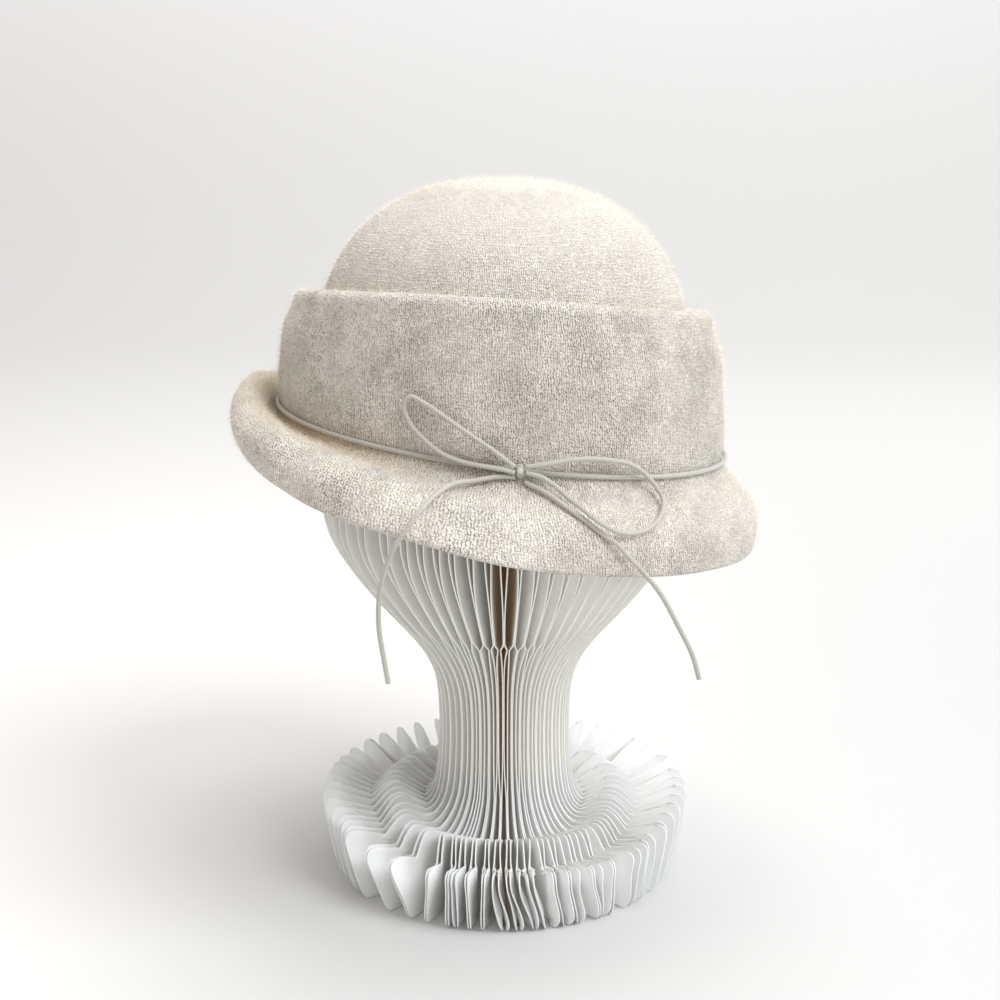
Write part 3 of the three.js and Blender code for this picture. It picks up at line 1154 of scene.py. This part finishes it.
    def _wrap(self, name: str) -> bpy.types.Object:
        """The knot: one wrap of the cord round the crossing strands.

        Args:
            name: The new piece's name.

        Returns:
            The piece.
        """
        deselect_all()
        bpy.ops.mesh.primitive_torus_add(
            align="WORLD", location=(0, 0, 0), major_segments=40, minor_segments=18,
            major_radius=self.knot_turn, minor_radius=self.radius)
        piece = bpy.context.object
        piece.name = name
        piece.data.name = name
        piece.data.uv_layers[0].name = "cloth"
        bpy.ops.object.mode_set(mode="EDIT")
        bpy.ops.mesh.select_all(action="SELECT")
        bpy.ops.transform.rotate(value=math.pi / 2, orient_axis="Y", center_override=(0, 0, 0))
        bpy.ops.transform.resize(value=self.knot_stretch, center_override=(0, 0, 0))
        bpy.ops.transform.rotate(value=self.knot_tilt, orient_axis="Y", center_override=(0, 0, 0))
        bpy.ops.transform.translate(value=self.knot)
        bpy.ops.object.mode_set(mode="OBJECT")
        bpy.ops.object.shade_smooth()
        return piece

    def build(self, finish: RoundCord) -> None:
        """Builds the cord's pieces.

        Args:
            finish: The cord's finish.
        """
        material = finish.material()
        waist = self._tube("cord_at_waist", self._waist_path())
        place_piece(waist, material, "waist_cord")
        place_piece(self._wrap("cord_knot"), material, "bow_knot")
        for stretch in self.bow:
            path = route_through(stretch.route, self.spacing)
            piece = self._tube(stretch.name.replace("bow", "cord"), path)
            place_piece(piece, material, stretch.name)


# ---------------------------------------------------------------------------------------------
# The stand


@dataclass
class CardStand:
    """The stand: thin card sheets fanned about the axis, glued to one neighbour and then the other.

    An angle is counted in degrees from the bow's side, positive towards the hat's back. The tables
    give the pairs' angles in the neck; each tip's angle at its top and its foot, and how many
    sheets lie in it; the sheets' edge from the floor up, as distances from the axis and heights,
    at the bow's side (edge) and away from it (side_edge), alike above the foot; the heights that
    the sheets' inner side starts from and goes on to, by the edge's knots (inside); and how far
    apart the rows lie along the edge (spacings).
    """

    card: float = 0.00055
    core: float = 0.0085
    pairs: tuple[float, ...] = (
        -0.3, 4.5, 9.4, 14, 18.9, 24.2, 28.9, 34.4, 40.3, 46.7, 53.6, 60.5, 67, 75, 84, 94, 105,
        118, 133, 150, 168, 186, 204, 220, 233, 244, 254, 262.5, 271, 281, 291.5, 301.5, 312.5,
        322, 329.2, 334.8, 339.5, 344.6, 350.1, 355)
    tips: tuple[tuple[float, float, int], ...] = (
        (-1.7, 1.9, 1), (0.5, 3.2, 1), (1.6, 6.3, 1), (4.2, 8.8, 1), (6.6, 10.8, 1),
        (8.2, 12.2, 1), (14.2, 18, 2), (18.7, 22.8, 2), (21.8, 26.4, 1), (26, 31.4, 2),
        (29, 32.5, 1), (33, 35.8, 2), (40.5, 44, 1), (43.5, 45.8, 1), (47, 49.4, 2), (51, 52.6, 1),
        (57.5, 58.5, 2), (64, 64.7, 1), (70, 70.5, 2), (77, 77.5, 1), (84, 84.5, 2), (91, 91, 1),
        (97.5, 97, 2), (104.5, 104, 1), (110.5, 110, 1), (117.5, 117, 1), (126.5, 126, 2),
        (135.5, 135, 1), (143.5, 143, 1), (152.5, 152, 1), (161, 161, 1), (170, 170, 1),
        (179, 179, 1), (188, 188, 1), (196, 196, 1), (204, 204, 1), (212, 212, 1),
        (219.5, 219.5, 1), (227, 227, 1), (235, 235, 2), (244, 244.5, 1), (251, 252, 1),
        (257, 258, 2), (262.5, 263.5, 1), (267.5, 268.5, 1), (272, 273, 1), (279.5, 281, 1),
        (287.5, 289.5, 1), (294, 296, 1), (299, 301, 1), (301.5, 302.6, 1), (304.5, 307.5, 2),
        (315.8, 319.5, 2), (325.2, 328.7, 2), (337.6, 334.8, 2), (343.5, 341.9, 2),
        (344.8, 343.8, 1), (346.1, 345.5, 1), (349.2, 349, 2), (354, 353.2, 2), (356.6, 358.6, 1))
    double: float = 0.75
    double_foot: float = 1.3
    edge: tuple[Span, ...] = (
        (0.0790, 0.0000), (0.0832, 0.0003), (0.0858, 0.0030), (0.0892, 0.0130), (0.0920, 0.0225),
        (0.0934, 0.0280), (0.0924, 0.0308), (0.0896, 0.0316), (0.0855, 0.0300), (0.0810, 0.0266),
        (0.0785, 0.0256), (0.0745, 0.0278), (0.0708, 0.0338), (0.0672, 0.0372), (0.0632, 0.0364),
        (0.0585, 0.0328), (0.0535, 0.0304), (0.0485, 0.0308), (0.0437, 0.0336), (0.0388, 0.0386),
        (0.0352, 0.0450), (0.0332, 0.0570))
    side_edge: tuple[Span, ...] = (
        (0.0790, 0.0000), (0.0832, 0.0003), (0.0858, 0.0040), (0.0888, 0.0170), (0.0908, 0.0290),
        (0.0912, 0.0362), (0.0898, 0.0400), (0.0868, 0.0408), (0.0830, 0.0386), (0.0785, 0.0346),
        (0.0748, 0.0324), (0.0705, 0.0316), (0.0665, 0.0332), (0.0625, 0.0372), (0.0585, 0.0402),
        (0.0545, 0.0410), (0.0500, 0.0388), (0.0458, 0.0350), (0.0420, 0.0326), (0.0384, 0.0342),
        (0.0352, 0.0405), (0.0332, 0.0540))
    upper_edge: tuple[Span, ...] = (
        (0.0325, 0.0800), (0.0342, 0.0970), (0.0385, 0.1080), (0.0440, 0.1165), (0.0496, 0.1235),
        (0.0650, 0.1415), (0.0800, 0.1625), (0.0862, 0.1760), (0.0876, 0.1870), (0.0870, 0.2020),
        (0.0838, 0.2150), (0.0730, 0.2480), (0.0628, 0.2790), (0.0440, 0.3085), (0.0190, 0.3290),
        (0.0090, 0.3340))
    inside: tuple[Span, ...] = (
        (0.0, 0.0003), (5.0, 0.0070), (10.0, 0.0090), (15.0, 0.0110), (18.0, 0.0150),
        (19.0, 0.0200), (20.0, 0.0290), (21.0, 0.0460), (22.0, 0.0740), (23.0, 0.0960),
        (24.0, 0.3400))
    spacings: tuple[Span, ...] = (
        (0.0, 0.0016), (0.104, 0.0022), (0.106, 0.0060), (0.178, 0.0060), (0.186, 0.0014),
        (0.210, 0.0014), (0.220, 0.0050), (0.255, 0.0060), (0.290, 0.0140), (0.500, 0.0140))
    columns: int = 7
    crowding: float = 1.9
    upper_joint: float = 0.1280
    lower_joint: float = 0.0535
    valley_joint: float = 0.0780
    foot_height: float = 0.046
    foot_fade: float = 0.006
    foot_opens: Span = (0.050, 0.055)
    tip_opens: Span = (0.080, 0.0885)
    tip_height: float = 0.030
    tip_turn: Span = (0.052, 0.088)
    fold_width: Span = (0.0022, 0.010)
    turn_width: Span = (0.002, 0.006)
    spring: float = 2.4
    foot_sides: Span = (30.0, 75.0)
    fold_sides: Span = (9.0, 32.0)
    bowl_slack: float = 0.65
    bowl_opens: Span = (0.144, 0.193)
    slack: Span = (0.95, 1.45)
    widest_lean: float = 0.0021
    calm: float = 0.85
    cling: float = 1.1
    press: float = 0.55
    swept: Span = (0.046, 0.068)
    wave: float = 0.5
    wave_reach: Span = (0.080, 0.092)
    drift: float = 0.3
    drift_rise: Span = (0.125, 0.185)
    lowest_core: float = 0.004
    core_climb: Point = (0.002, 0.330, 1.3)
    seam_sides: Span = (1.6, 5.0)
    seed: int = 7

    def _outlines(self) -> tuple[np.ndarray, np.ndarray, np.ndarray]:
        """The outlines of the sheets, row by row along the edge.

        Returns:
            The edge at the bow's side, the edge away from it, and the heights inside.
        """
        made, reach = [], None
        for lower in (self.edge, self.side_edge):
            knots = np.array(lower + self.upper_edge)
            fine = route_through(knots, 0.0002)
            along = distances(fine)
            stops = [along[np.argmin(np.linalg.norm(fine - knot, axis=1))] for knot in knots]
            if reach is None:
                places = [0.0]
                while places[-1] < along[-1]:
                    step = float(np.interp(places[-1], *np.array(self.spacings).T))
                    places.append(places[-1] + step)
                places = np.array(places) * along[-1] / places[-1]
                reach = np.interp(places, stops, np.arange(len(stops)))
            places = np.interp(reach, np.arange(len(stops)), stops)
            edge = np.stack([np.interp(places, along, column) for column in fine.T], axis=1)
            edge[:, 1] = np.maximum(edge[:, 1], self.card / 2)
            made.append(edge)
        return made[0], made[1], np.interp(reach, *np.array(self.inside).T)

    def _base_angles(self) -> np.ndarray:
        """Works out the sheets' angles in the neck, two sheets to a pair.

        Returns:
            The angles in radians.
        """
        pairs = np.array(self.pairs)
        ring = np.concatenate([[pairs[-1] - 360], pairs, [pairs[0] + 360]])
        places = np.arange(1, len(ring) - 1)[:, None] + np.array([-0.25, 0.25])
        return np.radians(np.interp(places.ravel(), np.arange(len(ring)), ring))

    def _neck_angles(self, base: np.ndarray, radius: np.ndarray) -> np.ndarray:
        """Works out the angles half way up the neck, where two sheets of three cling together.

        Args:
            base: The sheets' angles in the neck.
            radius: The places' distances from the axis.

        Returns:
            The angle of each sheet at each place.
        """
        triple, place = np.divmod(np.arange(len(base)), 3)
        middle = 3 * triple + np.where(place < 2, 0.25, 1.75)
        ring = np.concatenate([[base[-1] - 2 * np.pi], base, [base[0] + 2 * np.pi]])
        centre = np.interp(middle, np.arange(-1, len(base) + 1), ring)[:, None, None]
        apart = np.where(place < 2, place - 0.5, 0.0)[:, None, None] * self.card * self.cling
        return centre + apart / radius

    def _tip_angles(self) -> tuple[np.ndarray, np.ndarray]:
        """Works out the sheets' angles at their tips.

        Returns:
            The angles at the tips' tops and at their feet.
        """
        tops, feet = [], []
        for top, foot, sheets in self.tips:
            for place in range(sheets):
                shift = (place - (sheets - 1) / 2) * self.double
                tops.append(top + shift)
                feet.append(foot + shift * self.double_foot)
        return np.radians(tops), np.radians(feet)

    def _lean(self, radius: np.ndarray, z: np.ndarray, slack: np.ndarray,
              aside: np.ndarray) -> np.ndarray:
        """How far the sheets lean to one neighbour, 1, or to the other, -1.

        Args:
            radius: The places' distances from the axis.
            z: Their heights.
            slack: How far each sheet springs back between two joints.
            aside: How far each sheet is from the bow's side, from 0 to 1.

        Returns:
            The lean of each sheet at each place.
        """
        fold, turn = (least + more * aside for least, more in (self.fold_width, self.turn_width))
        bowl = 1 - slack * self.bowl_slack * smoothstep(z, *self.bowl_opens)
        neck = 1 - self.calm * aside
        joint = self.upper_joint
        upright = (bowl + neck) * smoothstep(z, joint - fold, joint + fold) - neck
        share = np.clip((radius - self.lower_joint) / (self.valley_joint - self.lower_joint), 0, 1)
        leaf = 1 - slack * (1 - np.abs(2 * share - 1) ** self.spring)
        tip = smoothstep(radius, *self.tip_opens) - 1
        foot = leaf + (tip - leaf) * smoothstep(radius - self.valley_joint + turn, 0.0, 2 * turn)
        low = 1 - smoothstep(z, self.foot_height - 0.004, self.foot_height)
        return upright + (foot - upright) * smoothstep(radius, *self.foot_opens) * low

    def _places(self) -> np.ndarray:
        """Works out where the sheets lie.

        Returns:
            The places, as sheets of rows along the edge of columns inwards.
        """
        front, sides, inside = self._outlines()
        rng = np.random.default_rng(self.seed)
        base = self._base_angles()[:, None, None]
        tops, feet = (angles[:, None, None] for angles in self._tip_angles())
        far = self._away(self.foot_sides)[:, None, None]
        edge = front + (sides - front) * far
        start, climb, power = self.core_climb
        inside = np.minimum(inside, start + np.linspace(0.0, 1.0, len(front)) ** power * climb)
        inside = np.minimum(np.maximum(edge[..., 1], self.lowest_core), inside)
        core = np.stack(np.broadcast_arrays(self.core, inside), axis=2)
        share = (np.linspace(0.0, 1.0, self.columns + 1) ** self.crowding)[None, None, :, None]
        flat = edge[:, :, None] * (1 - share) + core[:, :, None] * share
        radius, z = flat[..., 0], flat[..., 1]
        low = 1 - smoothstep(z, self.foot_height - self.foot_fade, self.foot_height)
        tip = feet + (tops - feet) * smoothstep(z, 0.0, self.tip_height)
        centre = base + (tip - base) * smoothstep(radius, *self.tip_turn) * low
        slack, wave, drift = (
            rng.uniform(*reach, len(base))[:, None, None]
            for reach in (self.slack, (-self.wave, self.wave), (-self.drift, self.drift)))
        aside = self._away(self.fold_sides)[:, None, None]
        lean = self._lean(radius, z, slack, aside) * (1 - self.calm * far * low)
        side = np.where(np.arange(len(base)) % 2 == 0, 1.0, -1.0)[:, None, None]
        after = (np.roll(centre, -1, axis=0) - centre) % (2 * np.pi) / 2
        before = np.roll(after, 1, axis=0)
        room = np.where(lean * side > 0, after, before) - self.card * self.press / radius
        room = np.clip(room, 0.0, self.widest_lean / radius)
        wave = wave * smoothstep(radius, *self.wave_reach) * low
        wave = wave * np.sin(z / self.tip_height * np.pi)
        drift = drift * smoothstep(z, *self.drift_rise)
        angle = centre + side * lean * room + (wave + drift) * np.minimum(before, after)
        share = np.clip((z - self.foot_height) / (self.upper_joint - self.foot_height), 0.0, 1.0)
        apart = 1 - np.abs(2 * share - 1) ** 4
        swept = 1 - smoothstep(radius, *self.swept)
        apart = apart + (swept - apart) * aside * (share < 0.5)
        angle += (self._neck_angles(self._base_angles(), radius) - angle) * apart
        return np.stack([radius * np.sin(angle), -radius * np.cos(angle), z], axis=3)

    def _away(self, degrees: Span) -> np.ndarray:
        """How far round each sheet is from the bow's side, from 0 to 1 over a span of degrees."""
        away = np.abs((self._base_angles() + np.pi) % (2 * np.pi) - np.pi)
        return smoothstep(away, *np.radians(degrees))

    def _sheaf(self, name: str, places: np.ndarray, seams: np.ndarray) -> bpy.types.Object:
        """Joins some of the sheets into one piece, with the card's thickness.

        Args:
            name: The piece's name.
            places: The places of its sheets.
            seams: How much brown each of them takes deep in, at the seam.

        Returns:
            The piece.
        """
        made = []
        depth = np.linspace(0.0, 1.0, self.columns + 1) ** self.crowding
        foot = self.foot_height
        for sheet, seam in zip(places, seams):
            shows = 0.25 + 0.75 * smoothstep(sheet[:, 0, 2], foot - 0.010, foot + 0.004)
            made.append(laid_grid(name, sheet, depth, seam * shows))
        deselect_all()
        for sheet in made:
            sheet.select_set(True)
        bpy.context.view_layer.objects.active = made[0]
        bpy.ops.object.join()
        piece = bpy.context.object
        wall = piece.modifiers.new("card", "SOLIDIFY")
        wall.thickness = self.card
        wall.offset = 0.0
        bpy.ops.object.modifier_apply(modifier=wall.name)
        bpy.ops.object.shade_smooth_by_angle(angle=math.radians(50))
        deselect_all()
        return piece

    def build(self, finish: WhiteCard) -> None:
        """Builds the stand's sheets as two pieces, one for each side.

        Args:
            finish: The card's finish.
        """
        places = self._places()
        seams = 1 - self._away(self.seam_sides)
        material = finish.material()
        half = len(places) // 2
        for name, part in (("stand_sheets_back_side", slice(0, half)),
                           ("stand_sheets_front_side", slice(half, None))):
            piece = self._sheaf(name, places[part], seams[part])
            place_piece(piece, material, "paper_stand")


# ---------------------------------------------------------------------------------------------
# The studio


@dataclass(frozen=True)
class SoftBox:
    """A soft area light: its name, place, the point it faces, its size, power and colour."""

    name: str
    place: Point
    faces: Point
    size: float
    power: float
    colour: Colour


@dataclass
class Studio:
    """A pale floor that turns up into a wall far behind, soft light, and the camera.

    The camera's place is its eye, which looks along +Y and down by an angle in radians.
    """

    half_width: float = 6.0
    near: float = -5.0
    wall_y: float = 3.2
    bend: float = 1.6
    height: float = 4.0
    camera_place: Point = (-0.0021, -0.798, 0.389)
    camera_down: float = math.radians(14.32)
    focal: float = 61.2
    film: float = 36.0
    sky: Colour = (1.0, 0.965, 0.925)
    sky_strength: float = 0.65
    boxes: tuple[SoftBox, ...] = (
        SoftBox("key", (1.45, -1.10, 2.15), (0.0, 0.0, 0.20), 1.6, 46.0, (0.93, 0.97, 1.0)),
        SoftBox("top", (0.12, 0.25, 1.45), (0.0, 0.0, 0.25), 1.0, 9.0, (1.0, 0.98, 0.95)),
        SoftBox("side", (2.6, 0.30, 1.00), (0.0, 0.0, 0.15), 1.2, 11.5, (0.93, 0.975, 1.0)),
        SoftBox("wash", (0.4, 1.3, 2.4), (0.0, 3.2, 0.9), 1.8, 11.2, (0.97, 0.98, 1.0)),
    )

    def _backdrop(self, finish: PaleFloor) -> None:
        """The floor and the wall, as one sheet.

        Args:
            finish: The floor's finish.
        """
        turn = self.wall_y - self.bend
        arc = [(turn + self.bend * math.sin(angle), self.bend * (1 - math.cos(angle)))
               for angle in np.linspace(0.0, np.pi / 2, 24)]
        profile = np.array([(self.near, 0.0), *arc, (self.wall_y, self.height)])
        across = np.linspace(-self.half_width, self.half_width, 5)
        places = np.array([[(x, y, z) for x in across] for y, z in profile])
        floor = laid_grid("floor", places, across, profile[:, 0])
        bpy.ops.object.shade_smooth()
        floor.data.materials.append(finish.material())

    def _light(self, box: SoftBox) -> None:
        """One soft area light.

        Args:
            box: The light.
        """
        data = bpy.data.lights.new(box.name, "AREA")
        data.shape = "DISK"
        data.size = box.size
        data.energy = box.power
        data.color = box.colour
        light = bpy.data.objects.new(box.name, data)
        bpy.context.scene.collection.objects.link(light)
        light.location = box.place
        light.rotation_mode = "QUATERNION"
        light.rotation_quaternion = (Vector(box.faces) - Vector(box.place)).to_track_quat("-Z", "Y")

    def camera(self) -> None:
        """The camera, level from side to side and looking down a little."""
        data = bpy.data.cameras.new("camera")
        data.lens = self.focal
        data.sensor_width = self.film
        eye = bpy.data.objects.new("camera", data)
        bpy.context.scene.collection.objects.link(eye)
        eye.location = self.camera_place
        eye.rotation_euler = (math.pi / 2 - self.camera_down, 0.0, 0.0)
        bpy.context.scene.camera = eye

    def build(self, finish: PaleFloor) -> None:
        """Builds the floor, the sky and the lights.

        Args:
            finish: The floor's finish.
        """
        self._backdrop(finish)
        world = bpy.data.worlds.new("sky")
        world.use_nodes = True
        background = world.node_tree.nodes["Background"]
        background.inputs["Color"].default_value = (*self.sky, 1.0)
        background.inputs["Strength"].default_value = self.sky_strength
        bpy.context.scene.world = world
        bpy.context.scene.view_settings.view_transform = "Standard"
        for box in self.boxes:
            self._light(box)


def main() -> None:
    """Builds the camera, the cord, the hat, the stand and the studio, in that order."""
    logging.basicConfig(level=logging.INFO, format="%(name)s: %(message)s")
    studio = Studio()
    studio.camera()
    hat = FeltHat()
    felt = KnittedFelt()
    TiedCord(hat).build(RoundCord())
    hat.build(felt)
    FeltNap(hat).build(felt)
    CardStand().build(WhiteCard())
    studio.build(PaleFloor())


if __name__ == "__main__":
    main()
